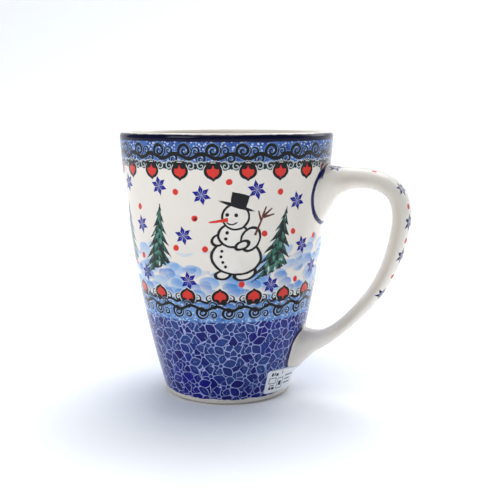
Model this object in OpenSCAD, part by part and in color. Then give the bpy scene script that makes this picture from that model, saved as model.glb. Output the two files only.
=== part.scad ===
// Stoneware mug with one pulled strap handle, built in the layers it is made of.
// Millimetres. The origin is the middle of the foot on the table, +Z is up, and
// +X points to the handle.

/* [Cup] */
// Outer diameter across the rim
rim_d = 90; // [76:1:108]
// Height from the table to the top of the lip
cup_h = 111; // [92:1:134]
// Outer diameter at the foot
foot_d = 53.6; // [45:0.2:64]
// Thickness of the finished wall
wall_t = 4; // [3.2:0.1:5]
// Thickness of the floor above the foot recess
floor_t = 5; // [4:0.1:7]
// Radius of the corner between the floor and the wall inside
floor_corner_r = 9; // [5:0.5:11]

/* [Foot] */
// Width of the bare ring that stands on the table
ring_w = 3; // [2:0.1:4.5]
// Depth of the recess inside the ring
recess_h = 2; // [1:0.1:2.6]
// Radius of the rounded edge outside the ring
foot_edge_r = 0.8; // [0.4:0.1:1.2]

/* [Handle] */
// Farthest distance from the wall to the middle of the strap
handle_reach = 32.4; // [26:0.1:39]
// Width of the strap at its outermost bend
strap_w = 15.6; // [12:0.2:19]
// Thickness of the strap at its outermost bend
strap_t = 7.2; // [5.6:0.1:8.6]
// Distance from the lip down to the middle of the upper root
upper_root_drop = 25; // [21:0.5:30]
// Height of the middle of the lower root above the table
lower_root_z = 19.3; // [18.2:0.1:26]
// Diameter of the round upper root where it meets the wall
upper_root_d = 22.8; // [19:0.1:25]
// Height of the lower root where it meets the wall
lower_root_h = 19.4; // [17:0.1:21]
// Width of the lower root where it meets the wall
lower_root_w = 15.4; // [12:0.1:17]

/* [Layers] */
// Thickness of the fired glaze
glaze_t = 0.3; // [0.2:0.01:0.4]
// Thickness of the clay slip that joins the handle to the cup
slip_t = 0.5; // [0.4:0.01:0.8]
// How far the slip stands out round the handle's roots
slip_rim = 0.8; // [0.7:0.05:1.2]
// Clearance between one layer and the next
seat_gap = 0.04; // [0.03:0.005:0.06]

/* [Label] */
// Width of the paper label, measured round the wall
label_w = 19.5; // [14:0.5:22]
// Height of the paper label
label_h = 10.4; // [7:0.1:11]
// Thickness of the paper label
label_t = 0.12; // [0.08:0.01:0.2]
// Angle from the handle to the middle of the label
label_angle = -18.5; // [-60:0.5:-15]

/* [Hidden] */

rim_r = rim_d / 2;
foot_r = foot_d / 2;
lip_r = wall_t / 2;
floor_z = recess_h + floor_t;
glaze_low_z = foot_edge_r + 0.1;   // the glaze is wiped off below this height
biscuit_inset = glaze_t + seat_gap;
crown_seam = 1;                // half the angle left open between the two glaze coats
recess_edge = 0.8;             // slope of the recess wall, measured inwards
recess_r = foot_r - biscuit_inset - foot_edge_r - ring_w;

upper_root_z = cup_h - upper_root_drop;
upper_root_r = upper_root_d / 2;

label_corner_r = 1.6;
label_gap = 0.3;               // the label stops this far from the slip of the lower root
label_tilt = -4;
label_z = 8;

wall_step = 2.5;               // height of one cone of the wall, about
arc_steps = 10;
sides = 32;                    // points round the strap
between = 3;                   // rings from one strap station to the next
cap_steps = 5;                 // rings across each end of the strap
section_power = 0.91;          // 1 makes the strap's section an ellipse, less makes it fuller
$fn = 96;

// The wall is one cubic curve: these are its four control radii, at even heights.
wall_radii = [foot_r, foot_r + 0.61 * (rim_r - foot_r), foot_r + 0.88 * (rim_r - foot_r), rim_r];

// Stations of the strap from the upper root to the lower one: share of the reach,
// share of the height between the roots, lean of the section from upright, size of
// the strap against its outermost bend, and share of the root's flare.
strap = [
    [0.000, 1.000,   0, 1.05, 1.00], [0.104, 1.054,   0, 1.05, 0.50],
    [0.175, 1.079,   0, 1.05, 0.25], [0.305, 1.095,   0, 1.05, 0.09],
    [0.460, 1.100,   4, 1.04, 0.02], [0.690, 1.080,  28, 1.02, 0.00],
    [0.890, 1.016,  53, 1.00, 0.00], [0.992, 0.897,  82, 1.00, 0.00],
    [1.000, 0.762, 101, 0.97, 0.00], [0.960, 0.603, 112, 0.92, 0.00],
    [0.860, 0.445, 121, 0.84, 0.00], [0.695, 0.301, 131, 0.76, 0.00],
    [0.490, 0.172, 140, 0.70, 0.01], [0.310, 0.095, 155, 0.70, 0.08],
    [0.155, 0.060, 170, 0.70, 0.32], [0.000, 0.000, 180, 0.70, 1.00]
];

function mix(a, b, t) = a + (b - a) * t;

function curve(c, t) =
    (1 - t)^3 * c[0] + 3 * t * (1 - t)^2 * c[1] + 3 * t^2 * (1 - t) * c[2] + t^3 * c[3];

// Outer radius of the finished wall at height z
function wall_r(z) = curve(wall_radii, z / cup_h);

function wall_slope(z) = (wall_r(z + 0.5) - wall_r(z - 0.5));

function arc(centre, r, from, to) =
    [for (i = [0:arc_steps]) centre + r * [cos(mix(from, to, i / arc_steps)),
                                           sin(mix(from, to, i / arc_steps))]];

function reversed(list) = [for (i = [len(list) - 1:-1:0]) list[i]];

// Points up the wall, set in by a distance from its outer face
function up_wall(inset, low, high) =
    let (steps = ceil((high - low) / wall_step))
    [for (i = [0:steps]) let (z = mix(low, high, i / steps)) [wall_r(z) - inset, z]];

lip_centre = [wall_r(cup_h - lip_r) - lip_r, cup_h - lip_r];

// Outer face from a height to the crown of the lip, set in by a distance
function outside(inset, low, seam = 0) =
    concat(up_wall(inset, low, cup_h - lip_r), arc(lip_centre, lip_r - inset, 0, 90 - seam));

// Inner face from the middle of the floor to the crown, set back by a distance
function inside(inset, seam = 0) =
    let (corner = floor_corner_r + inset,
         middle_z = floor_z - inset + corner,
         lean = atan(wall_slope(middle_z)),
         joint_z = middle_z - corner * sin(lean),
         middle_r = wall_r(joint_z) - wall_t + inset - corner * cos(lean))
    concat([[0, floor_z - inset]],
           arc([middle_r, middle_z], corner, -90, -lean),
           up_wall(wall_t - inset, joint_z + 1, cup_h - lip_r),
           arc(lip_centre, lip_r - inset, 180, 90 + seam));

// A thin coat between two faces that are set in by two distances
module wall_coat(near, far, low, high) {
    rotate_extrude()
        polygon(concat(up_wall(near, low, high), reversed(up_wall(far, low, high))));
}

// Outline of a root, run through the wall towards +X and widened by a margin
module upper_outline(margin) {
    translate([0, 0, upper_root_z])
        rotate([0, 90, 0])
            cylinder(r = upper_root_r + margin, h = rim_d);
}

module lower_outline(margin) {
    half_w = lower_root_w / 2;
    rise = lower_root_h / 2 - half_w;
    for (side = [-1, 1])
        translate([0, 0, lower_root_z + side * rise])
            rotate([0, 90, 0])
                cylinder(r = half_w + margin, h = rim_d);
    translate([0, -half_w - margin, lower_root_z - rise])
        cube([rim_d, lower_root_w + 2 * margin, 2 * rise]);
}

// Radius at which the strap's ends sit, on the outer face of the slip
function seat_r(z) = wall_r(z) - biscuit_inset + 2 * seat_gap + slip_t;

function seat_x(y, z) = sqrt(seat_r(z)^2 - y^2);

// The four numbers on either side of a place along the strap, joined smoothly
function along(t) =
    let (last = len(strap) - 1,
         i = min(floor(t), last - 1),
         u = t - i,
         a = strap[max(i - 1, 0)],
         b = strap[i],
         c = strap[i + 1],
         d = strap[min(i + 2, last)])
    b + u / 2 * (c - a + u * (2 * a - 5 * b + 4 * c - d + u * (3 * (b - c) + d - a)));

// Cosine or sine drawn out towards a fuller, squarer section
function full(wave) = sign(wave) * abs(wave)^section_power;

// One ring round the strap, grown by a margin and scaled about its middle
function ring(t, grow, scale = 1) =
    let (s = along(t),
         upper = t < len(strap) / 2,
         root_a = upper ? upper_root_r : lower_root_h / 2,
         root_b = upper ? upper_root_r : lower_root_w / 2,
         flare = s[4],
         a = scale * (mix(s[3] * strap_t / 2, root_a, flare) + grow),
         b = scale * (mix(s[3] * strap_w / 2, root_b, flare) + grow),
         z0 = mix(lower_root_z, upper_root_z, s[1]),
         x0 = wall_r(z0) + s[0] * handle_reach)
    [for (i = [0:sides - 1])
        let (turn = 360 * i / sides,
             out = a * full(cos(turn)),
             y = b * full(sin(turn)),
             z = z0 + out * cos(s[2]),
             x = x0 + out * sin(s[2]))
        [x + flare * (seat_x(y, z) - wall_r(z0)), y, z]];

stops = [for (i = [0:(len(strap) - 1) * between]) i / between];

function strap_rings(grow) = [for (t = stops) ring(t, grow)];

// Rings that close one end of the strap on the seat, from the middle outwards
function cap_rings(t) = [for (i = [1:cap_steps - 1]) ring(t, 0, i / cap_steps)];

function flat(lists) = [for (l = lists) each l];

// Triangles between each ring and the next
function band_faces(pairs) =
    [for (p = pairs, i = [0:sides - 1])
        let (j = (i + 1) % sides, a = p[0] * sides, b = p[1] * sides)
        each [[a + i, b + i, b + j], [a + i, b + j, a + j]]];

module cup_body() {
    inset = biscuit_inset;
    edge_x = wall_r(foot_edge_r) - inset - foot_edge_r;
    color("wheat")
        rotate_extrude()
            polygon(concat(
                [[0, recess_h], [recess_r - recess_edge, recess_h], [recess_r, 0.3],
                 [recess_r + 0.3, 0]],
                arc([edge_x, foot_edge_r], foot_edge_r, -90, 0),
                outside(inset, glaze_low_z),
                reversed(inside(inset))));
}

module handle() {
    last = len(strap) - 1;
    rings = concat(cap_rings(0), strap_rings(0), reversed(cap_rings(last)));
    count = len(rings);
    points = flat(rings);
    start = len(points);
    middles = [[seat_x(0, upper_root_z), 0, upper_root_z],
               [seat_x(0, lower_root_z), 0, lower_root_z]];
    color("wheat")
        polyhedron(concat(points, middles), concat(
            band_faces([for (i = [0:count - 2]) [i, i + 1]]),
            [for (i = [0:sides - 1]) [start, i, (i + 1) % sides]],
            [for (i = [0:sides - 1])
                [start + 1, start - sides + (i + 1) % sides, start - sides + i]]),
            convexity = 6);
}

module upper_slip_joint() {
    reach = upper_root_r + slip_rim + 1;
    color("tan")
        intersection() {
            wall_coat(glaze_t - slip_t, glaze_t, upper_root_z - reach, upper_root_z + reach);
            upper_outline(slip_rim);
        }
}

module lower_slip_joint() {
    reach = lower_root_h / 2 + slip_rim + 1;
    color("tan")
        intersection() {
            wall_coat(glaze_t - slip_t, glaze_t, lower_root_z - reach, lower_root_z + reach);
            lower_outline(slip_rim);
        }
}

module outer_glaze() {
    color("royalblue")
        difference() {
            rotate_extrude()
                polygon(concat(outside(0, glaze_low_z, crown_seam),
                               reversed(outside(glaze_t, glaze_low_z, crown_seam))));
            upper_outline(slip_rim + seat_gap);
            lower_outline(slip_rim + seat_gap);
        }
}

module inner_glaze() {
    color("ivory")
        rotate_extrude()
            polygon(concat(inside(0, crown_seam), reversed(inside(glaze_t, crown_seam))));
}

module base_glaze() {
    color("ivory")
        translate([0, 0, recess_h - biscuit_inset])
            cylinder(r = recess_r - recess_edge - seat_gap, h = glaze_t);
}

module handle_glaze() {
    rings = concat(strap_rings(biscuit_inset), reversed(strap_rings(seat_gap)));
    count = len(rings);
    color("ivory")
        polyhedron(flat(rings), band_faces([for (i = [0:count - 1]) [i, (i + 1) % count]]),
                   convexity = 8);
}

// Flat outline of the label with round corners
module label_outline() {
    half_w = wall_r(label_z) * sin(label_w / 2 / wall_r(label_z) * 180 / PI) - label_corner_r;
    half_h = label_h / 2 - label_corner_r;
    polygon(concat(
        arc([half_w, half_h], label_corner_r, 0, 90),
        arc([-half_w, half_h], label_corner_r, 90, 180),
        arc([-half_w, -half_h], label_corner_r, 180, 270),
        arc([half_w, -half_h], label_corner_r, 270, 360)));
}

module price_label() {
    color("white")
        difference() {
            intersection() {
                wall_coat(-seat_gap - label_t, -seat_gap, glaze_low_z, label_z + label_h);
                rotate([0, 0, label_angle])
                    translate([0, 0, label_z])
                        rotate([90, 0, 90])
                            linear_extrude(rim_d)
                                rotate(label_tilt)
                                    label_outline();
            }
            lower_outline(slip_rim + label_gap);
        }
}

cup_body();
handle();
upper_slip_joint();
lower_slip_joint();
outer_glaze();
inner_glaze();
base_glaze();
handle_glaze();
price_label();
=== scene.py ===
# %% [markdown]
# # A hand-decorated stoneware mug
# The mug is a cup of cast stoneware with one pulled strap handle. A potter paints and stamps
# the bisque ware with cobalt and other underglaze colours, dips it in clear glaze and fires it
# again. The CAD frame gives the layers and their sizes. This lesson adds what a camera sees:
# the smooth turned coats of glaze, the softened joints of the handle, the paper label and
# above all the decoration, which is drawn by shader nodes.

import math

import bmesh
import bpy
from mathutils import Euler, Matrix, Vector
from mathutils.bvhtree import BVHTree


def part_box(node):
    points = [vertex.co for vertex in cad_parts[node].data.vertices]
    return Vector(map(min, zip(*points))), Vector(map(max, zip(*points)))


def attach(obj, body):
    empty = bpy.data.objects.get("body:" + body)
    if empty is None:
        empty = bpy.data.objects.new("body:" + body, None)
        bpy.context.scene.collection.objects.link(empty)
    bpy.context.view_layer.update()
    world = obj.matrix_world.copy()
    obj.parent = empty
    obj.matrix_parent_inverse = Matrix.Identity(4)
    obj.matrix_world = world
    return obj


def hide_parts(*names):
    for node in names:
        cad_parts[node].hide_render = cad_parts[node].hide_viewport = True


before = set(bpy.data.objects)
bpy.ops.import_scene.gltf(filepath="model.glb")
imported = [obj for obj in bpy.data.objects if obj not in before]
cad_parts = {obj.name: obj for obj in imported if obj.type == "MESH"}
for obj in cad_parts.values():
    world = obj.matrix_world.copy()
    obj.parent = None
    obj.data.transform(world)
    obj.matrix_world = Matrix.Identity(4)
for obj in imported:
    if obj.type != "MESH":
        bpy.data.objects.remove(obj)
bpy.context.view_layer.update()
print("CAD nodes:", ", ".join(sorted(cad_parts)))

# %% [markdown]
# ## Camera and light
# Tableware is mostly shown on a white sweep between large soft boxes, so that the glaze
# carries long pale reflections and hardly any shadow. A sweep is a floor that curves up into
# a wall. It is one edge extruded twice, and a bevel rounds the corner.

# %% The camera
MM = 0.001
camera_data = bpy.data.cameras.new("mug_camera")
camera_data.lens = 60.3
camera_data.sensor_width = 36
camera_data.clip_start = 0.01
camera = bpy.data.objects.new("mug_camera", camera_data)
camera.location = (0.1276, -0.3324, 0.1192)
LOOKS_DOWN, TURNED = 9.42, 19.44  # degrees below level, and to the right round the mug
camera.rotation_euler = Euler([math.radians(a) for a in (90 - LOOKS_DOWN, 0, TURNED)])
scene = bpy.context.scene
scene.collection.objects.link(camera)
scene.camera = camera
scene.view_settings.view_transform = "Standard"
print("camera distance", round(camera.location.length, 3), "m")


# %% The white sweep
def new_piece(name, bm):
    """Puts a bmesh in the scene as an object at the origin, shaded smooth."""
    mesh = bpy.data.meshes.new(name)
    bm.to_mesh(mesh)
    bm.free()
    mesh.shade_smooth()
    piece = bpy.data.objects.new(name, mesh)
    scene.collection.objects.link(piece)
    return piece


def extruded(bm, edges, step):
    """Extrudes edges by a step and returns the new edges."""
    made = bmesh.ops.extrude_edge_only(bm, edges=edges)["geom"]
    bmesh.ops.translate(
        bm, vec=step, verts=[g for g in made if isinstance(g, bmesh.types.BMVert)]
    )
    return [g for g in made if isinstance(g, bmesh.types.BMEdge)]


SWEEP_REACH, SWEEP_DEEP, SWEEP_TALL, SWEEP_CURVE = 4, 5.5, 4, 0.8  # metres
bm = bmesh.new()
ends = [bm.verts.new((x, -SWEEP_REACH, 0)) for x in (-SWEEP_REACH, SWEEP_REACH)]
corner = extruded(bm, [bm.edges.new(ends)], (0, SWEEP_DEEP, 0))
extruded(bm, corner, (0, 0, SWEEP_TALL))
bmesh.ops.bevel(
    bm, geom=corner, offset=SWEEP_CURVE, segments=16, profile=0.5, affect="EDGES", material=-1
)
bmesh.ops.recalc_face_normals(bm, faces=bm.faces)
sweep = new_piece("sweep", bm)
print(len(sweep.data.polygons), "faces in the sweep")

# %% Soft boxes and the room's own light
SOFT_BOXES = [  # name, where, size across, watts
    ("left_box", (-0.55, -0.9, 0.75), 0.6, 3.8),
    ("right_box", (0.6, 0.75, 0.6), 0.5, 1.8),
    ("back_box", (-0.1, 0.6, 0.95), 0.9, 7.0),
    ("top_box", (0.0, -0.25, 1.2), 0.6, 3.1),
]
MUG_MIDDLE = Vector((0, 0, 0.05))
for name, place, across, watts in SOFT_BOXES:
    light = bpy.data.lights.new(name, "AREA")
    light.shape = "SQUARE"
    light.size = across
    light.energy = watts
    lamp = bpy.data.objects.new(name, light)
    lamp.location = place
    aim = MUG_MIDDLE - lamp.location
    lamp.rotation_euler = aim.to_track_quat("-Z", "Y").to_euler()
    scene.collection.objects.link(lamp)
scene.world = bpy.data.worlds.new("white_room")
scene.world.use_nodes = True
room = scene.world.node_tree
room_light = room.nodes["Background"]
room_light.inputs["Color"].default_value = (0.66, 0.82, 1.0, 1)
room_light.inputs["Strength"].default_value = 0.2
print(len(SOFT_BOXES), "soft boxes")

# %% [markdown]
# ## Turned coats of glaze
# Glaze flows before it sets, so the coats are the smoothest surfaces of the mug and show every
# facet in their reflections. The CAD coats are measured with rays along their outline, and the
# outline is spun round the axis in fine steps. Solidify then gives each coat its thickness.

# %% Measure the coats
GLAZE = 0.3 * MM
NUDGE = 1e-6  # keeps a ray off the edge between two facets


def surface_of(thing):
    """A search tree of a mesh object, to cast rays at."""
    mesh = thing.data
    return BVHTree.FromPolygons([v.co for v in mesh.vertices], [p.vertices for p in mesh.polygons])


outer_coat = surface_of(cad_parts["outer_glaze"])
inner_coat = surface_of(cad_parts["inner_glaze"])
foot_z, crown_z = (corner.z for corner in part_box("outer_glaze"))
LIP_R = 2 * MM
OUTSIDE = -0.2  # a place well outside the mug, where rays start


def wall_radius(z):
    """Outer radius of the glazed wall at a height, away from the handle."""
    top = crown_z - LIP_R * 0.3
    hit = outer_coat.ray_cast(Vector((OUTSIDE, NUDGE, min(z, top))), Vector((1, 0, 0)))[0]
    return -hit.x


lip_z = crown_z - LIP_R
lip_x = wall_radius(lip_z) - LIP_R
floor_z = inner_coat.ray_cast(Vector((NUDGE, NUDGE, lip_z)), Vector((0, 0, -1)))[0].z
print("wall from", round(foot_z, 4), "to", round(crown_z, 4), "floor at", round(floor_z, 4))

# %% Outlines of the two coats
LIP_STEPS, STRAIGHT_STEPS = 12, 50
WALL_STEP = 1.5 * MM
EYE_HEIGHT = 20 * MM  # over the floor, where the rays at the bowl's curve fan out


def lip_arc(start, end):
    """Points over the lip, as (radius, height), between two angles in degrees."""
    angles = [math.radians(start + (end - start) * i / LIP_STEPS) for i in range(LIP_STEPS + 1)]
    return [(lip_x + LIP_R * math.cos(a), lip_z + LIP_R * math.sin(a)) for a in angles]


def lining_point(angle, start):
    """Where a ray from a point on the axis meets the lining, as (radius, height)."""
    way = Vector((-math.cos(angle), 0, math.sin(angle)))
    hit = inner_coat.ray_cast(Vector((0, NUDGE, start)), way)[0]
    return -hit.x, hit.z


wall_count = round((lip_z - foot_z) / WALL_STEP)
heights = [foot_z + (lip_z - foot_z) * i / wall_count for i in range(wall_count)]
outside = [(wall_radius(z), z) for z in heights] + lip_arc(0, 90)
eye_z = floor_z + EYE_HEIGHT
fan = [math.radians(a) for a in range(-88, 0, 2)]
straight = [eye_z + (lip_z - eye_z) * i / STRAIGHT_STEPS for i in range(STRAIGHT_STEPS)]
inside = [(0, floor_z)] + [lining_point(a, eye_z) for a in fan]
inside += [lining_point(0, z) for z in straight] + lip_arc(180, 90)
print(len(outside), "points outside,", len(inside), "inside")

# %% Spin them
ROUND_STEPS = 240


def face_out(bm, measure, way):
    """Turns all faces outwards, judged by the face where a measure of its middle is largest."""
    bmesh.ops.recalc_face_normals(bm, faces=bm.faces)
    judge = max(bm.faces, key=lambda f: measure(f.calc_center_median()))
    if judge.normal.dot(way(judge.calc_center_median())) < 0:
        bmesh.ops.reverse_faces(bm, faces=bm.faces)


def spun(outline, side):
    """A coat turned from (radius, height) points, facing out at side 1 and inwards at -1."""
    bm = bmesh.new()
    verts = [bm.verts.new((-r, 0, z)) for r, z in outline]
    edges = [bm.edges.new(pair) for pair in zip(verts, verts[1:])]
    bmesh.ops.spin(
        bm, geom=verts + edges, axis=(0, 0, 1), angle=2 * math.pi, steps=ROUND_STEPS, use_merge=True
    )
    bmesh.ops.remove_doubles(bm, verts=bm.verts, dist=NUDGE)
    face_out(bm, lambda c: c.xy.length, lambda c: Vector((c.x, c.y, 0)) * side)
    for edge in bm.edges:
        edge.smooth = not edge.is_boundary
    return bm


def thickened(piece, thickness):
    """Gives a surface its thickness behind its visible face."""
    wall = piece.modifiers.new("glaze_thickness", "SOLIDIFY")
    wall.thickness = thickness
    wall.offset = -1
    return piece


lining = thickened(new_piece("cup_lining", spun(inside, -1)), GLAZE)
painted = spun(outside, 1)
print(len(painted.faces), "faces round the wall")

# %% [markdown]
# ### Room for the handle
# The handle is joined to the clay before it is glazed, so there is no glaze under its roots.
# The faces that lie wholly under a root are deleted, and the roots hide the ragged edge.

# %% Open the wall at the roots
TUCK = 0.8 * MM  # how far the coat runs in under the edge of a root
upper_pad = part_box("upper_slip_joint")
lower_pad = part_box("lower_slip_joint")
upper_z = (upper_pad[0].z + upper_pad[1].z) / 2
upper_r = upper_pad[1].y - TUCK
lower_z = (lower_pad[0].z + lower_pad[1].z) / 2
lower_w = lower_pad[1].y - TUCK
lower_h = (lower_pad[1].z - lower_pad[0].z) / 2 - TUCK


def under_root(point):
    """True where a point of the wall is covered by a root of the handle."""
    lift = max(abs(point.z - lower_z) - (lower_h - lower_w), 0)
    upper = math.hypot(point.y, point.z - upper_z) < upper_r
    return point.x > 0 and (upper or math.hypot(point.y, lift) < lower_w)


covered = [f for f in painted.faces if all(under_root(v.co) for v in f.verts)]
print("deleting", len(covered), "faces under the roots")
bmesh.ops.delete(painted, geom=covered, context="FACES")
painted_wall = thickened(new_piece("painted_wall", painted), GLAZE)
wall_surface = surface_of(painted_wall)

# %% [markdown]
# ## The handle's skin
# A pulled strap has no flats and no seams, and wet fingers soften its joints into the wall.
# The CAD skin has the right line in coarse rings. A welded copy loses its inner side, two more
# rings at each end run out onto the wall as a fillet, and a subdivision surface rounds it all.

# %% Copy the outer side of the strap
ON_CLAY = 0.08 * MM  # a vertex this near to the clay is on the inner side of the coat
SKIN_THICK = 0.22 * MM
strap_core = surface_of(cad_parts["handle"])
bm = bmesh.new()
bm.from_mesh(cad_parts["handle_glaze"].data)
bmesh.ops.remove_doubles(bm, verts=bm.verts, dist=NUDGE)
inner_side = [v for v in bm.verts if strap_core.find_nearest(v.co)[3] < ON_CLAY]
bmesh.ops.delete(bm, geom=inner_side, context="VERTS")
bmesh.ops.join_triangles(
    bm, faces=bm.faces, angle_face_threshold=math.pi, angle_shape_threshold=math.pi
)
face_out(bm, lambda c: c.x, lambda c: Vector((1, 0, 0)))
print(len(bm.faces), "faces on the strap")

# %% Run its ends out onto the wall
FILLET = [(0.55 * MM, 0.34 * MM), (0.75 * MM, -0.05 * MM)]  # step outwards, height over the wall
BETWEEN_ROOTS, BEYOND_HANDLE = 0.05, 0.08  # a height, and a place out along X


def seated(point, height):
    """The point moved along X to a height over the painted wall."""
    start = Vector((BEYOND_HANDLE, point.y, point.z))
    hit = wall_surface.ray_cast(start, Vector((-1, 0, 0)))[0]
    return Vector((hit.x + height, point.y, point.z))


for root_z in (upper_z, lower_z):
    upper = root_z > BETWEEN_ROOTS
    rim = [e for e in bm.edges if e.is_boundary and (e.verts[0].co.z > BETWEEN_ROOTS) == upper]
    for step, height in FILLET:
        rim = extruded(bm, rim, (0, 0, 0))
        for vert in {v for e in rim for v in e.verts}:
            away = Vector((0, vert.co.y, vert.co.z - root_z)).normalized()
            vert.co = seated(vert.co + away * step, height)
face_out(bm, lambda c: c.x, lambda c: Vector((1, 0, 0)))
handle_skin = new_piece("handle_skin", bm)
rounding = handle_skin.modifiers.new("rounding", "SUBSURF")
rounding.levels = rounding.render_levels = 2
thickened(handle_skin, SKIN_THICK)
print("skin reaches x", round(max(v.co.x for v in handle_skin.data.vertices), 4))

# %% [markdown]
# ## The paper label
# A price sticker is a small sheet with rounded corners that follows the wall and laps over the
# foot of the handle. A flat sheet is cut and scored into a fine grid, its flat place is kept
# as a UV map for the printing, and each corner of the grid is then laid on what is under it.

# %% Cut the sheet
LABEL_W, LABEL_H, LABEL_CORNER = 21.8 * MM, 10.4 * MM, 1.6 * MM
LABEL_THICK, LABEL_GAP, LABEL_CLIMB = 0.12 * MM, 0.05 * MM, 3.4 * MM
SCORE = 0.8 * MM
label_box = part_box("price_label")
label_z = (label_box[0].z + label_box[1].z) / 2
label_turn, label_tilt = math.radians(-16.4), math.radians(-4)

bm = bmesh.new()
bmesh.ops.create_grid(bm, x_segments=1, y_segments=1, size=0.5)
bmesh.ops.scale(bm, vec=(LABEL_W, LABEL_H, 1), verts=bm.verts)
bmesh.ops.bevel(
    bm, geom=bm.verts[:], offset=LABEL_CORNER, segments=6, profile=0.5,
    affect="VERTICES", material=-1,
)  # fmt: skip
for axis, side in ((Vector((1, 0, 0)), LABEL_W), (Vector((0, 1, 0)), LABEL_H)):
    for i in range(1, round(side / SCORE)):
        cut = axis * (i * SCORE - side / 2)
        whole = bm.verts[:] + bm.edges[:] + bm.faces[:]
        bmesh.ops.bisect_plane(bm, geom=whole, plane_co=cut, plane_no=axis)
print_map = bm.loops.layers.uv.new("label_print")
for face in bm.faces:
    for loop in face.loops:
        loop[print_map].uv = (loop.vert.co.x / LABEL_W + 0.5, loop.vert.co.y / LABEL_H + 0.5)
print(len(bm.faces), "faces in the sheet")

# %% Lay it on the wall and the handle
dressed = handle_skin.evaluated_get(bpy.context.evaluated_depsgraph_get())
skin_surface = surface_of(dressed)


def resting(angle, z):
    """The point of paper that rests on the wall or on the skin of the handle."""
    way = Vector((math.cos(angle), math.sin(angle), 0))
    start = way * 0.1 + Vector((0, 0, z))
    hits = [tree.ray_cast(start, -way)[0] for tree in (wall_surface, skin_surface)]
    reach = max(hit.xy.length for hit in hits if hit)
    reach = min(reach, wall_radius(z) + LABEL_CLIMB)
    return way * (reach + LABEL_GAP) + Vector((0, 0, z))


PRESSED = 4  # rounds of smoothing and laying back
cos_t, sin_t = math.cos(label_tilt), math.sin(label_tilt)
for vert in bm.verts:
    along, up = vert.co.x * cos_t - vert.co.y * sin_t, vert.co.x * sin_t + vert.co.y * cos_t
    vert.co = resting(label_turn + along / wall_radius(label_z), label_z + up)
for _ in range(PRESSED):
    bmesh.ops.smooth_vert(
        bm, verts=bm.verts, factor=0.5, use_axis_x=True, use_axis_y=True, use_axis_z=False
    )
    for vert in bm.verts:
        under = resting(math.atan2(vert.co.y, vert.co.x), vert.co.z)
        if under.xy.length > vert.co.xy.length:
            vert.co = under
face_out(bm, lambda c: -c.y, lambda c: c)
label = new_piece("paper_label", bm)
sheet = label.modifiers.new("paper_thickness", "SOLIDIFY")
sheet.thickness = LABEL_THICK
sheet.offset = 1
print("label turned", round(math.degrees(label_turn), 1), "degrees from the handle")

# %% [markdown]
# ## Colours and nodes
# All the paint is drawn by sums on the place of a point, so it is as sharp as its edges are
# set to be and needs no picture. A number on the surface is wrapped so that Python's own signs
# add the Math nodes. Colours are written as sRGB hex values, as a paint chart gives them.


# %% Helpers for materials
def colour(hex_code):
    """An sRGB hex value as the linear colour that nodes take."""
    parts = [int(hex_code[i : i + 2], 16) / 255 for i in (0, 2, 4)]
    return (*[c / 12.92 if c <= 0.04045 else ((c + 0.055) / 1.055) ** 2.4 for c in parts], 1)


NOISE, VORONOI = "ShaderNodeTexNoise", "ShaderNodeTexVoronoi"
VECTOR, MIX = "ShaderNodeVectorMath", "ShaderNodeMix"
JOIN_XYZ, SPLIT_XYZ = "ShaderNodeCombineXYZ", "ShaderNodeSeparateXYZ"


def add(tree, kind, settings=(), inputs=()):
    """Adds a node, sets its settings and fills or links its inputs."""
    node = tree.nodes.new(kind)
    for name, value in dict(settings).items():
        setattr(node, name, value)
    for place, value in dict(inputs).items():
        value = getattr(value, "socket", value)
        if isinstance(value, bpy.types.NodeSocket):
            tree.links.new(value, node.inputs[place])
        else:
            node.inputs[place].default_value = value
    return node


class Number:
    """A number that changes over the surface. Sums on it add nodes."""

    def __init__(self, socket):
        self.socket = socket
        self.tree = socket.id_data

    def by(self, operation, *others, clamp=False):
        settings = {"operation": operation, "use_clamp": clamp}
        made = add(self.tree, "ShaderNodeMath", settings, enumerate((self, *others)))
        return Number(made.outputs[0])

    def __add__(self, other):
        return self.by("ADD", other)

    def __sub__(self, other):
        return self.by("SUBTRACT", other)

    def __rsub__(self, other):
        return self.by("MULTIPLY_ADD", -1, other)

    def __mul__(self, other):
        return self.by("MULTIPLY", other)

    def __truediv__(self, other):
        return self.by("DIVIDE", other)

    def __abs__(self):
        return self.by("ABSOLUTE")

    def __neg__(self):
        return self.by("MULTIPLY", -1)

    __radd__ = __add__
    __rmul__ = __mul__

    def within(self, half):
        """Wraps the number into the stretch from -half to half."""
        return self.by("WRAP", half, -half)

    def join(self, other):
        """The nearer of two distances: both shapes together."""
        return self.by("MINIMUM", other)

    def cut(self, other):
        """The farther of two distances: only where the shapes overlap."""
        return self.by("MAXIMUM", other)


def length(*parts):
    """Distance from the middle, from the parts across, up and away."""
    tree = parts[0].tree
    joined = add(tree, JOIN_XYZ, (), enumerate(parts))
    made = add(tree, VECTOR, {"operation": "LENGTH"}, {0: joined.outputs[0]})
    return Number(made.outputs["Value"])


# %% A painting
FRONT = math.radians(69)  # the painted scene faces this far to the left of the handle
HAND_SIZE = 3.2  # millimetres between two slips of the hand


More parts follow.
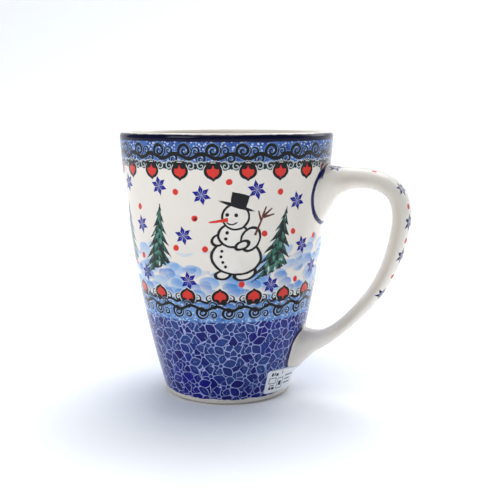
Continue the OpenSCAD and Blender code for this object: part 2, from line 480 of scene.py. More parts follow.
class Painting:
    """The paint on one part of the mug: where a point lies, and the colour laid so far.

    Lengths are millimetres. turn is the angle round the mug from the middle of the scene."""

    def __init__(self, name, ground, wobble=0.5):
        self.material = bpy.data.materials.new(name)
        self.material.use_nodes = True
        self.tree = self.material.node_tree
        self.tree.nodes.clear()
        self.colour = colour(ground)
        metres = self.node("ShaderNodeTexCoord").outputs["Object"]
        scaled = self.node(VECTOR, {"operation": "SCALE"}, {0: metres, "Scale": 1 / MM})
        self.steady = self.place = scaled.outputs[0]
        if wobble:  # a brush or a stamp never repeats its line
            inputs = {"Vector": self.steady, "Scale": 1 / HAND_SIZE, "Detail": 1}
            hand = self.node(NOISE, (), inputs).outputs["Color"]
            inputs = {0: hand, 1: (0.5, 0.5, 0.5)}
            hand = self.node(VECTOR, {"operation": "SUBTRACT"}, inputs).outputs[0]
            slip = self.node(VECTOR, {"operation": "SCALE"}, {0: hand, "Scale": wobble}).outputs[0]
            moved = self.node(VECTOR, {"operation": "ADD"}, {0: self.steady, 1: slip})
            self.place = moved.outputs[0]
        parts = self.node(SPLIT_XYZ, (), {0: self.place}).outputs
        self.x, self.y, self.z = (Number(part) for part in parts)
        self.radius = length(self.x, self.y)
        self.turn = self.y.by("ARCTAN2", self.x) + FRONT

    def node(self, kind, settings=(), inputs=()):
        return add(self.tree, kind, settings, inputs)

    def across(self, count, start=0.0):
        """Millimetres round the wall from the nearest of count evenly spaced motifs."""
        away = self.turn - math.radians(start)
        return away.within(math.pi / count) * self.radius

    def cover(self, paint, amount):
        """Mixes a paint over the colour so far."""
        paint = colour(paint) if isinstance(paint, str) else paint
        inputs = {"Factor": amount, 6: self.colour, 7: paint}
        self.colour = self.node(MIX, {"data_type": "RGBA"}, inputs).outputs[2]

    def lay(self, paint, distance, soft=0.18):
        """Lays a paint where the distance to a shape is below zero."""
        self.cover(paint, distance.by("MULTIPLY_ADD", -1 / soft, 0.5, clamp=True))

    def cloud_over(self, most):
        """Clouds the coat with milky patches about a finger's width across."""
        inputs = {"Vector": self.steady, "Scale": 1 / 11, "Detail": 1}
        milky = Number(self.node(NOISE, (), inputs).outputs[0])
        self.cover("dcd6cc", (milky - 0.45).by("MULTIPLY", most, clamp=True))

    def tell(self):
        print(self.material.name, len(self.tree.nodes), "nodes")

    def glaze(self, roughness=0.07, bump=0.02, ripple=7.0):
        """Closes the painting under a coat with its own gloss and slow ripples."""
        inputs = {"Vector": self.steady, "Scale": 1 / ripple, "Detail": 1}
        wave = self.node(NOISE, (), inputs).outputs[0]
        relief = {"Height": wave, "Distance": bump * MM, "Strength": 1.0}
        inputs = {
            "Base Color": self.colour,
            "Roughness": roughness,
            "IOR": 1.5,
            "Specular IOR Level": 0.2,
            "Normal": self.node("ShaderNodeBump", (), relief).outputs[0],
        }
        surface = self.node("ShaderNodeBsdfPrincipled", (), inputs)
        self.node("ShaderNodeOutputMaterial", (), {"Surface": surface.outputs[0]})
        return self.material


CREAM = "ece4d9"
# Clear glaze on cream stoneware, dipped and fired: glassy, and milky where it lies thick.
plain_cream = Painting("clear_glaze_on_cream_stoneware", CREAM, wobble=0)
plain_cream.cloud_over(0.8)
plain_cream.tell()
# Matt paper from a roll: it takes a soft shadow and has no glint.
sweep_paper = Painting("matt_white_sweep_paper", "f4f6fa", wobble=0)

# %% [markdown]
# ## Motifs
# Stamped ware repeats a few motifs. Each one here is a small function that takes how far a
# point lies across and up from the motif's middle, in millimetres, and returns the distance
# to its edge, below zero inside. Two distances are joined with their minimum and cut with
# their maximum, as in any drawing program.

# %% Stars, hearts and scrolls
PETALS = 6


def star(u, v, reach, lean=0.0):
    """A six-petalled stamp, one petal upright, and the light veins in its petals."""
    r = length(u, v)
    turn = (u.by("ARCTAN2", v) + lean).within(math.pi / PETALS)
    along = r * turn.by("COSINE")
    aside = abs(r * turn.by("SINE"))
    petal = abs(along - reach * 0.5) * 0.5 + aside - reach * 0.25
    vein = (abs(along - reach * 0.27) - reach * 0.2).cut(aside - 0.02)
    return petal, vein


def heart(u, v, size):
    """An onion-shaped heart with its point at +v."""
    turn = abs(u.by("ARCTAN2", v))
    point = (1 - turn / 0.4).cut(0)
    return length(u, v * 1.12) - size * (0.97 + point * point * 0.22)


def scroll(u, v, radius, pitch, line):
    """A brush stroke rolled up into a spiral of about a turn and a half."""
    r = length(u, v)
    turn = v.by("ARCTAN2", u) / (2 * math.pi)
    arm = abs((r / pitch - turn).within(0.5)) * pitch - (r * (0.7 / radius) + 0.45) * (line / 2)
    return arm.cut(r - radius)


def wave(painting, count, start, height, swing, half):
    """A stroke that rises and falls count times round the mug."""
    phase = (painting.turn - math.radians(start)) * count
    return abs(painting.z - height - phase.by("SINE") * swing) - half


def oval(painting, u, v, x, z, half_w, half_h, tilt):
    """An ellipse about (x, z), turned by tilt degrees."""
    joined = painting.node(JOIN_XYZ, (), {0: u, 1: v}).outputs[0]
    settings = {
        "Vector": joined,
        "Location": (x, z, 0),
        "Rotation": (0, 0, math.radians(tilt)),
        "Scale": (half_w, half_h, 1),
    }
    local = painting.node("ShaderNodeMapping", {"vector_type": "TEXTURE"}, settings).outputs[0]
    far = painting.node(VECTOR, {"operation": "LENGTH"}, {0: local}).outputs["Value"]
    return (Number(far) - 1) * min(half_w, half_h)


def stroke(u, v, start, end, half, taper):
    """A straight brush stroke between two points, thinner by taper at its end."""
    dx, dz = end[0] - start[0], end[1] - start[1]
    span = math.hypot(dx, dz)
    along = (u - start[0]) * (dx / span) + (v - start[1]) * (dz / span)
    aside = (v - start[1]) * (dx / span) - (u - start[0]) * (dz / span)
    beyond = abs(along - span / 2) - span / 2
    return (abs(aside) + along * (taper / span) - half).cut(beyond)


# %% [markdown]
# ### Stars and dots thrown over the scene
# The scene covers half the mug and is painted twice. Each mark's place is its bearing in
# degrees from the middle of the scene and its height in millimetres. Only the nearest star
# is drawn at any point: a chain of comparisons keeps the nearest offset found so far.

# %% Places of the stars and the dots
STAR_PLACES = [
    (-37, 91), (-13, 88), (15, 90), (39, 85), (-54, 75), (-24, 72), (-23, 54), (-56, 55),
    (46, 67), (60, 57), (26, 52), (-65, 91), (78, 90), (80, 68), (-84, 70),
]  # fmt: skip
DOT_PLACES = [
    (-27, 89), (1, 93), (28, 89), (-54, 82), (-17, 79), (-29, 67), (-12, 67), (20, 73),
    (38, 73), (57, 70), (-57, 62), (8, 53), (44, 53), (-80, 88), (72, 79), (-70, 58),
]  # fmt: skip
COBALT, SKY, CORAL, OXBLOOD = "0e0e88", "b4bdf0", "dc3226", "5a1a1c"
DOT_SIZE, STAR_SIZE = 1.25, 3.9
RED_PATCH = 9.0  # the red fires darker in patches of about this size
print(len(STAR_PLACES), "stars and", len(DOT_PLACES), "dots on each half of the wall")


def flat_place(bearing, height):
    """A place on the unrolled half wall, in millimetres."""
    return math.radians(bearing) * wall_radius(height * MM) / MM, height


def throw_marks(p, low, high):
    """Paints the stars and dots that touch a band of the wall."""
    side = p.turn.within(math.pi / 2) * p.radius
    here = p.node(JOIN_XYZ, (), {0: side, 1: p.z}).outputs[0]
    dots = [flat_place(*d) for d in DOT_PLACES if low - 2 < d[1] < high + 2]
    nearest = None
    for across, up in dots:
        inputs = {0: here, 1: (across, up, 0)}
        far = Number(p.node(VECTOR, {"operation": "DISTANCE"}, inputs).outputs["Value"])
        nearest = far if nearest is None else nearest.join(far)
    spots = nearest - DOT_SIZE
    patch = Number(p.node(NOISE, (), {"Vector": p.steady, "Scale": 1 / RED_PATCH}).outputs[0])
    inputs = {0: patch.by("GREATER_THAN", 0.62), 6: colour(CORAL), 7: colour(OXBLOOD)}
    p.lay(p.node(MIX, {"data_type": "RGBA"}, inputs).outputs[2], spots)
    best, offset = None, None
    for across, up in [flat_place(*s) for s in STAR_PLACES if low - 5 < s[1] < high + 5]:
        inputs = {0: here, 1: (across, up, 0)}
        step = p.node(VECTOR, {"operation": "SUBTRACT"}, inputs).outputs[0]
        far = Number(p.node(VECTOR, {"operation": "LENGTH"}, {0: step}).outputs["Value"])
        if best is None:
            best, offset = far, step
            continue
        inputs = {0: far.by("LESS_THAN", best), 4: offset, 5: step}
        offset = p.node(MIX, {"data_type": "VECTOR"}, inputs).outputs[1]
        best = best.join(far)
    across, up = p.node(SPLIT_XYZ, (), {0: offset}).outputs[:2]
    petals, veins = star(Number(across), Number(up), STAR_SIZE, lean=0.2)
    p.lay(COBALT, petals)
    p.lay(SKY, veins, soft=0.22)


# %% [markdown]
# ### Watercolour washes and sponged ground
# The pale blue petals are single touches of a wet brush: each is darkest where the brush
# landed. A Voronoi texture scatters the touches, and the way from its cell's middle shades
# them. The borders are sponged, so the blue is broken by small pale specks about a
# millimetre apart.


# %% Washes and sponging
WASHES = [  # size, seed, height where they thin out, paint
    (8.0, 1, 70, "8db8e4"), (7.0, 4, 66, "6ba3dd"), (5.5, 3, 59, "4384cc"),
]  # fmt: skip
WASH_FADE, WASH_BANK = 9, 26  # millimetres over which they thin out, and between thick places


def wash(p, size, seed, low, paint):
    """Brush touches of about a size, thinning out above a height."""
    inputs = {0: p.place, 1: (seed * 17.3, seed * 5.1, seed * 9.7)}
    inputs = {0: p.node(VECTOR, {"operation": "ADD"}, inputs).outputs[0], 1: (0.8, 0.8, 1.25)}
    long_touch = p.node(VECTOR, {"operation": "MULTIPLY"}, inputs).outputs[0]
    cells = p.node(VORONOI, (), {"Vector": long_touch, "Scale": 1 / size})
    luck = Number(p.node("ShaderNodeSeparateColor", (), {0: cells.outputs["Color"]}).outputs[0])
    inputs = {"Vector": p.steady, "Scale": 1 / WASH_BANK, "Detail": 0}
    bank = Number(p.node(NOISE, (), inputs).outputs[0]) - 0.5
    chosen = ((low - p.z) / WASH_FADE + bank * 4 - luck + 0.62).by("MULTIPLY", 8, clamp=True)
    inputs = {0: long_touch, 1: cells.outputs["Position"]}
    away = p.node(VECTOR, {"operation": "SUBTRACT"}, inputs).outputs[0]
    inputs = {0: away, 1: (0.5, 0.4, 0.75)}
    lean = Number(p.node(VECTOR, {"operation": "DOT_PRODUCT"}, inputs).outputs["Value"])
    touch = (0.52 - Number(cells.outputs["Distance"])).by("MULTIPLY", 14, clamp=True)
    depth = (lean / size + 0.42).by("MULTIPLY", 1.0, clamp=True)
    p.cover(paint, touch * chosen * (depth * 0.85 + 0.16))


BLOTCH, SPECK_STEP, SPECK_SIZE = 2.4, 1.15, 0.32


def sponge(p, base, light, where):
    """A sponged ground with pale specks, where a distance is below zero."""
    inputs = {"Vector": p.steady, "Scale": 1 / BLOTCH}
    blotch = Number(p.node(NOISE, (), inputs).outputs[0]) - 0.3
    inputs = {0: blotch.by("MULTIPLY", 2.2, clamp=True), 6: colour(base), 7: colour(light)}
    p.lay(p.node(MIX, {"data_type": "RGBA"}, inputs).outputs[2], where, soft=0.5)
    cells = p.node(VORONOI, (), {"Vector": p.steady, "Scale": 1 / SPECK_STEP})
    specks = Number(cells.outputs["Distance"]) - SPECK_SIZE
    p.lay("c3d3ee", specks.cut(where), soft=0.25)


def root_line(p, root_z, half_w, half_h):
    """The cobalt line brushed round a root of the handle, just outside its edge."""
    lift = (abs(p.z - root_z) - (half_h - half_w)).cut(0)
    ring = abs(length(p.y, lift * 1.1) - half_w - 1.7) - 0.8
    beyond = wall_radius((root_z + half_h) * MM) / MM + 0.3
    p.lay("0d0b50", ring.cut(-p.x).cut(p.x - beyond), soft=0.3)


# %% [markdown]
# ## The top border
# Below the near-black line over the lip runs a sponged blue band with scrolls, then a dark
# leafy swag and a row of red hearts that hang from it by their broad end.

# %% Paint the top border
INK, PINE, HEART_RED, HEART_EDGE = "07090f", "12242a", "dc372c", "e6e2dc"
HEARTS_ABOVE, SCROLLS_ABOVE = 21, 25
PICTURE_TOP = 93
RIM_LINE = 107.9  # the lower edge of the dark line over the lip

# Underglaze paint sinks into the biscuit, so its edges are a little soft under the gloss.
top = Painting("underglaze_top_border", CREAM)
throw_marks(top, PICTURE_TOP, crown_z / MM)
u = top.across(HEARTS_ABOVE, 10.3)
droop = (u * (math.pi / 6.4)).by("COSINE")
sponge(top, "1b3580", "4a78c0", 99.6 - top.z - droop * 0.5)
swag = abs(top.z - 99.3 - droop * 0.5) - 0.75 - abs((top.turn * 121).by("SINE")) * 0.4
leaf_z = top.z - 99.0
swag = swag.join(length(abs(u) - 4.5, leaf_z) - 1.65)
curls = scroll(abs(u) - 4.5, leaf_z, 1.5, 1.3, 0.42)
v = top.z - 97.0
u_big = top.across(SCROLLS_ABOVE, -4.6)
big = scroll(u_big + 1.6, top.z - 104.6, 3.0, 1.6, 1.35)
small = scroll(u_big - 2.9, top.z - 104.5, 1.7, 1.2, 0.9)
low_u = top.across(SCROLLS_ABOVE, -12.7)
low = scroll(low_u, top.z - 101.6, 2.0, 1.3, 1.0)
stem = wave(top, SCROLLS_ABOVE, -0.9, 102.6, 0.9, 0.8)
scrolls = big.join(small).join(low).join(stem)
top.lay("7fa2dc", scrolls - 0.12, soft=0.25)
top.lay(INK, scrolls)
top.lay("dfe2e0", swag - 0.2, soft=0.3)
top.lay(PINE, swag)
top.lay("c9d0ce", curls, soft=0.25)
bulb = heart(u, -v, 3.6)
top.lay(HEART_EDGE, bulb - 0.3, soft=0.3)
top.lay(INK, bulb)
top.lay(HEART_RED, bulb + 1.15)
top.lay(INK, (length(abs(u) - 1.45, v - 2.0) - 1.25).join((bulb + 0.4).cut(2.6 - v)))
root_line(top, upper_z / MM, upper_r / MM, upper_r / MM)
top.lay("0b0c2c", RIM_LINE - top.z, soft=0.25)
over_lip = top.radius - (lip_x / MM + 1.25)
top.lay(CREAM, over_lip.cut(RIM_LINE + 1.6 - top.z), soft=0.4)
top.tell()

# %% [markdown]
# ## The winter scene
# The scene is a snowman between fir trees. It is this builder's own plain figure: stacked
# balls with one even outline, laid from the back to the front, so that each ball hides the
# lines behind it. A fir is a narrow triangle whose sides run in teeth, as its boughs droop.


# %% Firs
FIR_PLACES = [(-69, 82.8), (-37.5, 83.6), (32.5, 82.8)]
FIR_TALL, BOUGH, NEEDLES, DABS = 28.0, 3.7, 1.1, 1.5


def fir(p, bearing, top_z):
    """Paints one fir with its tip at a place."""
    down = top_z - p.z
    u = (p.turn.within(math.pi / 2) - math.radians(bearing)) * p.radius + down * 0.17
    reach = abs(u)
    inputs = {"Vector": p.place, "Scale": 1 / NEEDLES, "Detail": 1}
    ragged = Number(p.node(NOISE, (), inputs).outputs[0]) - 0.5
    sides_differ = u.by("GREATER_THAN", 0.0) * 0.45
    tooth = ((down - reach * 0.55) / BOUGH + sides_differ).by("FRACT")
    half = (down * 0.27 + 0.25) * (tooth * 0.65 + 0.55) + ragged * 0.7
    hem = down + u * 0.45 - FIR_TALL + 2.5 + ragged * 2
    body = (reach - half).cut(hem).cut(-0.3 - down)
    p.lay("121d20", body)
    inputs = {0: p.place, 1: (1.0, 1.0, 0.45)}
    hanging = p.node(VECTOR, {"operation": "MULTIPLY"}, inputs).outputs[0]
    inputs = {"Vector": hanging, "Scale": 1 / DABS, "Detail": 1}
    dabs = Number(p.node(NOISE, (), inputs).outputs[0])
    light = (0.51 - dabs) * 5 + (tooth - 0.6) * 1.2
    p.lay("2f6a58", (body + 0.55).cut(light), soft=0.6)
    p.lay("5f9484", (body + 0.9).cut(light + 0.75), soft=0.5)
    p.lay("dfe1de", (body + 0.3).cut(0.73 - dabs), soft=0.1)


# %% Snowman
SNOWMAN_BEARING = 4.0
LINE, SNOW_SHADE = 0.42, 6.0
SNOWMAN_BALLS = [  # middle across, height, half width, half height, tilt
    (-4.6, 56.9, 2.9, 1.7, 8), (4.0, 57.2, 4.2, 2.3, 14),
    (0.6, 64.0, 9.6, 6.9, -4), (-6.3, 70.8, 2.7, 2.0, 25),
    (-0.6, 72.6, 5.8, 4.6, 0), (6.0, 71.0, 3.5, 4.8, -28),
    (2.8, 68.7, 2.7, 1.5, 22), (0.2, 79.8, 5.1, 4.9, 0),
]  # fmt: skip
EYES_AND_COALS = [  # across, height, radius
    (-3.0, 80.6, 0.75), (0.4, 80.4, 0.75), (-3.1, 73.6, 0.7), (-3.5, 71.3, 0.7),
    (-5.0, 66.4, 0.6), (-5.3, 64.1, 0.6), (-4.6, 61.9, 0.6), (-3.5, 60.2, 0.6),
]  # fmt: skip
TWIGS = [  # from, to
    ((7.8, 72.5), (11.0, 80.2)), ((10.2, 78.2), (9.0, 82.0)), ((10.8, 79.6), (12.2, 83.6)),
    ((10.8, 79.4), (14.6, 82.8)), ((10.9, 79.4), (15.6, 80.4)),
]  # fmt: skip


def snowman(p):
    """Paints the snowman: snow, outline, nose, eyes and coals, hat and twig broom."""
    u = (p.turn.within(math.pi / 2) - math.radians(SNOWMAN_BEARING)) * p.radius
    snow, line = None, None
    for x, z, half_w, half_h, tilt in SNOWMAN_BALLS:
        ball = oval(p, u, p.z, x, z, half_w, half_h, tilt)
        ring = abs(ball) - LINE
        line = ring if line is None else line.cut(-ball).join(ring)
        snow = ball if snow is None else snow.join(ball)
    p.lay("efe9df", snow)
    inputs = {"Vector": p.steady, "Scale": 1 / SNOW_SHADE}
    shade = Number(p.node(NOISE, (), inputs).outputs[0])
    p.lay("e4ddd3", (snow + 0.4).cut(0.6 - shade), soft=0.5)
    for x, z, r in EYES_AND_COALS:
        line = line.join(length(u - x, p.z - z) - r)
    smile = (abs(length(u + 1.2, p.z - 79.6) - 2.7) - 0.28).cut(p.z - 77.7)
    p.lay(INK, line.join(smile))
    nose = stroke(u, p.z, (-2.6, 78.7), (-10.0, 77.6), 0.85, taper=0.6)
    p.lay(CORAL, nose)
    crown = stroke(u, p.z, (1.0, 83.2), (2.3, 88.6), 3.1, taper=-0.4)
    brim = oval(p, u, p.z, 0.6, 83.9, 6.9, 0.75, -17)
    p.lay(INK, crown.join(brim))
    broom = None
    for start, end in TWIGS:
        twig = stroke(u, p.z, start, end, 0.52, taper=0.25)
        broom = twig if broom is None else broom.join(twig)
    p.lay("5b2f22", broom)


# %% Paint the scene
PICTURE_FOOT = 52
scene_paint = Painting("underglaze_winter_scene", CREAM)
for touches in WASHES:
    wash(scene_paint, *touches)
throw_marks(scene_paint, PICTURE_FOOT, PICTURE_TOP)
for place in FIR_PLACES:
    fir(scene_paint, *place)
snowman(scene_paint)
root_line(scene_paint, upper_z / MM, upper_r / MM, upper_r / MM)
scene_paint.tell()

# %% [markdown]
# ## The lower border
# The same hearts stand point up on a lighter sponged band with a second row of scrolls.

# %% Paint the lower border
HEARTS_BELOW, SCROLLS_BELOW = 18, 22
MOSAIC_TOP = 37.5
lower = Painting("underglaze_lower_border", CREAM)
for touches in WASHES:
    wash(lower, *touches)
throw_marks(lower, MOSAIC_TOP, PICTURE_FOOT)
u = lower.across(HEARTS_BELOW, -4.4)
v = lower.z - 47.6
curls = scroll(abs(u) - 4.2, lower.z - 47.0, 1.6, 1.25, 0.75)
sponge(lower, "3767b0", "7fabdd", lower.z - 45.8 - (u * 0.63).by("COSINE") * 0.5)
lower.lay("e2e3e1", curls - 0.25, soft=0.3)
lower.lay(INK, curls.join(wave(lower, 36, 0, 45.6, 0.4, 0.55)))
bulb = heart(u, v, 3.5)
lower.lay(HEART_EDGE, bulb - 0.3, soft=0.3)
lower.lay(INK, bulb)
lower.lay(HEART_RED, bulb + 1.1)
lower.lay(INK, length(abs(u) - 1.45, v + 2.0) - 1.25)
u = lower.across(SCROLLS_BELOW, 3.0)
big = scroll(u + 1.6, lower.z - 41.0, 2.7, 1.4, 1.15)
small = scroll(u - 3.0, lower.z - 44.0, 1.8, 1.25, 0.9)
low = scroll(u - 2.9, lower.z - 40.2, 1.6, 1.15, 0.85)
stem = wave(lower, SCROLLS_BELOW, 6.0, 42.9, 0.9, 0.65)
scrolls = big.join(small).join(low).join(stem)
lower.lay("a3c0ea", scrolls - 0.14, soft=0.25)
lower.lay(INK, scrolls)
lower.tell()

# %% [markdown]
# ## The leaf mosaic
# The lower wall is covered with stamped leaves that leave thin pale joints between them.
# Two sets of six-leaved flowers stand in staggered rows, one behind the other, and Voronoi
# cells fill what is left of the ground. Each leaf gets its own strength of cobalt, as a stamp
# gives when it dries out.

# %% Paint the mosaic
FLOWERS, ROW_STEP, FIRST_ROW = 14, 9.4, 8.6
HEART_OF_FLOWER = 0.9  # radius at which the leaves begin
JOINT, CELL = 0.14, 4.4
SECTOR = math.tan(math.pi / PETALS)  # keeps a leaf inside its own sixth of a flower
mosaic = Painting("underglaze_leaf_mosaic", "0c0682", wobble=0.9)


def flowers(p, first_row, shift, lean, leaf_length, one_sided, fat):
    """Rows of six-leaved flowers: the distance to a leaf, its luck and its midrib."""
    row = ((p.z - first_row) / ROW_STEP + 0.5).by("FLOOR")
    away = p.turn + row * 0.09 + shift
    u = away.within(math.pi / FLOWERS) * p.radius
    v = p.z - first_row - row * ROW_STEP
    column = (away * (FLOWERS / 2 / math.pi) + 0.5).by("FLOOR")
    r = length(u, v)
    turn = v.by("ARCTAN2", u)
    fold = (turn - lean).within(math.pi / PETALS)
    middle = turn - fold
    reach = middle.by("COSINE") * one_sided + leaf_length
    along = r * fold.by("COSINE")
    aside = abs(r * fold.by("SINE"))
    half = (reach - HEART_OF_FLOWER) / 2
    lens = (along - HEART_OF_FLOWER - half) / half
    leaf = (aside - (1 - lens * lens) * fat).cut(aside - along * SECTOR).join(r - 0.95)
    seed = p.node(JOIN_XYZ, (), {0: middle, 1: row, 2: column}).outputs[0]
    luck = Number(p.node("ShaderNodeTexWhiteNoise", (), {0: seed}).outputs["Value"])
    rib = (aside - 0.08).cut(abs(along - 3.6) - 0.8).cut((0.7 - luck) * 3)
    return leaf, luck, rib


leaf, leaf_luck, rib = flowers(mosaic, FIRST_ROW, 0, 0.3, 4.8, 2.1, 1.9)
back_leaf, back_luck, back_rib = flowers(
    mosaic, FIRST_ROW + ROW_STEP / 2, math.pi / FLOWERS, -0.35, 5.2, 1.5, 2.3
)

# %% Fill the ground and colour the leaves
inputs = {0: mosaic.place, 1: (1.0, 1.0, 0.75)}
tall = mosaic.node(VECTOR, {"operation": "MULTIPLY"}, inputs).outputs[0]
ground = {"Vector": tall, "Scale": 1 / CELL, "Randomness": 0.9}
cells = mosaic.node(VORONOI, (), ground)
parts = mosaic.node("ShaderNodeSeparateColor", (), {0: cells.outputs["Color"]}).outputs
ground_luck = Number(parts[0])
edges = mosaic.node(VORONOI, {"feature": "DISTANCE_TO_EDGE"}, ground)
gap = Number(edges.outputs["Distance"]) * CELL - JOINT
luck = ground_luck + (back_luck - ground_luck) * back_leaf.by("LESS_THAN", 0.0)
luck = luck + (leaf_luck - luck) * leaf.by("LESS_THAN", 0.0)
DISTRICT, BRISTLES, HEM = 24.0, 1.6, 2.5
inputs = {"Vector": mosaic.steady, "Scale": 1 / DISTRICT, "Detail": 0}
district = Number(mosaic.node(NOISE, (), inputs).outputs[0])
strength = luck * 0.75 + (district - 0.5) * 2.0 + (mosaic.z - 16) * 0.018
mosaic.cover("2a3f7e", strength.by("MULTIPLY_ADD", 1.8, -0.25, clamp=True))
inputs = {"Vector": mosaic.place, "Scale": 1 / BRISTLES}
brush = Number(mosaic.node(NOISE, (), inputs).outputs[0])
mosaic.cover("3c5cab", (brush - 0.5).by("MULTIPLY", 1.3, clamp=True))
mosaic.cover("0a0660", (0.42 - luck).by("MULTIPLY", 5.0, clamp=True) * 0.75)
mosaic.lay("8fa4dc", rib.join(back_rib.cut(-leaf)))
behind = (abs(back_leaf) - JOINT).join(gap.cut(-back_leaf))
joint = (abs(leaf) - JOINT).join(behind.cut(-leaf))
mosaic.lay("b6c0ef", joint, soft=0.2)
inputs = {"Vector": mosaic.steady, "Scale": 1 / HEM}
hem = Number(mosaic.node(NOISE, (), inputs).outputs[0])
mosaic.lay("5f86c6", 36.4 - mosaic.z + hem * 1.6, soft=0.4)
mosaic.lay(CREAM, mosaic.z - 2.0 - hem, soft=0.3)
root_line(mosaic, lower_z / MM, lower_w / MM, lower_h / MM)
mosaic.tell()

# %% [markdown]
# ## The handle, the label and the clay
# The strap carries stars and dots in turn along its back. The label is matt white paper with
# plain printed bars, and the clay shows only at the foot.

# %% Paint the handle
HANDLE_STARS, HANDLE_DOTS = (93, 50, 30, 6, -37), (69, 39, 18, -15)  # bearings about the loop
HANDLE_STAR, HANDLE_DOT, MARKS_ASIDE = 3.1, 1.05, 3.9
LOOP_X, LOOP_Z = 50, 60  # the middle of the loop, in millimetres
# The same glaze on the pulled strap, with painted shade along its sides where they turn away from
# the loop; the shade fades out towards the roots.
strap = Painting("clear_glaze_on_strap", CREAM, wobble=0.4)
out, up = strap.x - LOOP_X, strap.z - LOOP_Z
around = up.by("ARCTAN2", out)
reach = length(out, up)
loop_way = strap.node(JOIN_XYZ, (), {0: out, 2: up}).outputs[0]
inputs = {0: strap.node("ShaderNodeNewGeometry").outputs["Normal"], 1: loop_way}
outer = Number(strap.node(VECTOR, {"operation": "DOT_PRODUCT"}, inputs).outputs["Value"])
# Painted shade: the sides of the strap are darkened in their colour, judged by how far their normal
# turns from the loop's middle.
painted_side_shade = (0.8 - abs(outer / reach)).by("MULTIPLY", 1.5, clamp=True)
beyond_root = (strap.x - 45).by("MULTIPLY", 0.12, clamp=True)
strap.cover("bfb4a5", painted_side_shade * beyond_root * 0.7)
strap.cloud_over(1.5)


def nearest_along(bearings):
    """Millimetres along the strap to the nearest of several bearings about the loop."""
    near = None
    for bearing in bearings:
        far = abs(around - math.radians(bearing))
        near = far if near is None else near.join(far)
    return near * reach


from_row = strap.y + MARKS_ASIDE
petals, veins = star(from_row, nearest_along(HANDLE_STARS), HANDLE_STAR)
strap.lay("0c0c4c", petals.cut(2 - outer))
strap.lay(SKY, veins.cut(2 - outer), soft=0.3)
spots = length(from_row, nearest_along(HANDLE_DOTS)) - HANDLE_DOT
root_line(strap, upper_z / MM, upper_r / MM, upper_r / MM)
root_line(strap, lower_z / MM, lower_w / MM, lower_h / MM)
strap.lay("c8322e", spots.cut(4 - outer))
strap.tell()

# %% Print the label
# Coated label paper, die-cut: bright, nearly matt, with sharp dark print.
paper = Painting("coated_label_paper", "f3f5f8", wobble=0)
sheet_uv = paper.node("ShaderNodeUVMap", {"uv_map": "label_print"}).outputs[0]
s, t = (Number(part) for part in paper.node(SPLIT_XYZ, (), {0: sheet_uv}).outputs[:2])
s, t = s * (LABEL_W / MM), t * (LABEL_H / MM)


def block(left, foot, right, head):
    """A rectangle between two corners of the label, in millimetres."""
    wide = abs(s - (left + right) / 2) - (right - left) / 2
    return wide.cut(abs(t - (foot + head) / 2) - (head - foot) / 2)


BARS = [  # left, foot, right, head
    (2.6, 7.7, 3.6, 9.2), (4.0, 7.9, 4.6, 9.2), (5.0, 7.6, 6.4, 8.8), (8.6, 8.2, 9.1, 9.4),
    (2.4, 1.6, 3.6, 2.7), (4.0, 1.6, 5.6, 2.7), (2.6, 3.2, 5.2, 3.6), (11.5, 6.6, 17.5, 7.1),
    (11.5, 4.9, 16.0, 5.4), (11.5, 3.2, 17.0, 3.7), (7.6, 3.0, 9.4, 5.0),
]  # fmt: skip
FRAMES, FRAME_LINE = [(2.0, 4.4, 5.6, 6.8), (6.8, 1.8, 10.2, 6.4)], 0.14
ink = None
for corners in BARS:
    bar = block(*corners)
    ink = bar if ink is None else ink.join(bar)
for corners in FRAMES:
    ink = ink.join(abs(block(*corners)) - FRAME_LINE)
paper.lay("23262c", ink, soft=0.15)
paper.tell()

# %% Mix the clay and fire the glaze
GRIT, SMEAR = 0.5, 0.9
# Biscuit stoneware, cast and fired once: dry and matt, with fine darker grit.
biscuit = Painting("biscuit_stoneware", "d9cdbb", wobble=0)
inputs = {"Vector": biscuit.steady, "Scale": 1 / GRIT, "Detail": 3}
grit = Number(biscuit.node(NOISE, (), inputs).outputs[0])
biscuit.cover("b7a78f", grit.by("MULTIPLY_ADD", 3.0, -1.4, clamp=True))
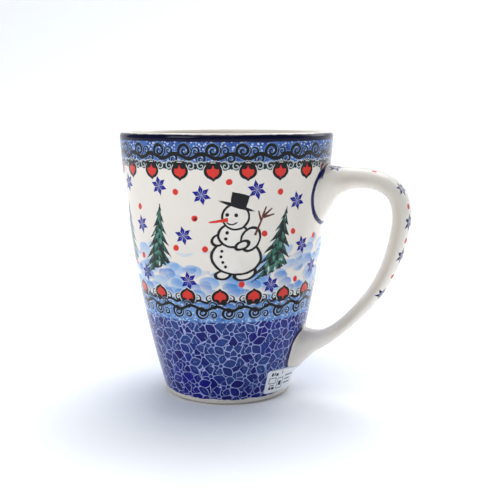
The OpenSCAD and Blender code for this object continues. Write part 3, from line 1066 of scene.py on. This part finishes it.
# Clay slip, brushed on thick as cream: smoother than the biscuit and a little darker.
slip_clay = Painting("clay_slip", "d3c6b2", wobble=0)
inputs = {"Vector": slip_clay.steady, "Scale": 1 / SMEAR}
slip_clay.cover("c2b39b", slip_clay.node(NOISE, (), inputs).outputs[0])
glazed = [p.glaze() for p in (mosaic, lower, scene_paint, top)]
cream_finish, strap_finish = plain_cream.glaze(), strap.glaze()
biscuit_finish = biscuit.glaze(roughness=0.85, bump=0.03, ripple=0.4)
slip_finish = slip_clay.glaze(roughness=0.8, bump=0.03, ripple=0.6)
paper_finish = paper.glaze(roughness=0.45, bump=0.01, ripple=0.5)
sweep_finish = sweep_paper.glaze(roughness=0.9)

# %% Let the paper glow away from the mug
# The soft boxes light a real sweep evenly. The glow makes up for what these few leave dark.
GLOW_START, GLOW_RISE, GLOW_MOST = 42, 0.008, 0.52  # millimetres, per millimetre, strength
away = sweep_paper.radius - GLOW_START
glow = away.by("MULTIPLY", GLOW_RISE, clamp=True) * GLOW_MOST
sheet_face = sweep_finish.node_tree.nodes["Principled BSDF"]
sheet_face.inputs["Emission Color"].default_value = (1, 1, 1, 1)
sweep_finish.node_tree.links.new(glow.socket, sheet_face.inputs["Emission Strength"])
print(len(bpy.data.materials), "materials")

# %% Dress the pieces
BAND_TOPS = [MOSAIC_TOP, PICTURE_FOOT, PICTURE_TOP]
for finish in glazed:
    painted_wall.data.materials.append(finish)
for face in painted_wall.data.polygons:
    face.material_index = sum(face.center.z > band * MM for band in BAND_TOPS)
lining.data.materials.append(cream_finish)
handle_skin.data.materials.append(strap_finish)
label.data.materials.append(paper_finish)
sweep.data.materials.append(sweep_finish)
CAD_FINISHES = {
    "cup_body": biscuit_finish,
    "handle": biscuit_finish,
    "upper_slip_joint": slip_finish,
    "lower_slip_joint": slip_finish,
    "base_glaze": cream_finish,
}
print(len(painted_wall.data.materials), "bands of paint on the wall")
for name, finish in CAD_FINISHES.items():
    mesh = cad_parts[name].data
    mesh.materials.clear()
    mesh.materials.append(finish)
REPLACED = [
    (painted_wall, ["outer_glaze"], "painted_glaze"),
    (lining, ["inner_glaze"], "clear_glaze"),
    (handle_skin, ["handle_glaze"], "clear_glaze"),
    (label, ["price_label"], "label_paper"),
]

# %% Ride on the frame
for piece, nodes, slot in REPLACED:
    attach(piece, "root")
    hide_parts(*nodes)
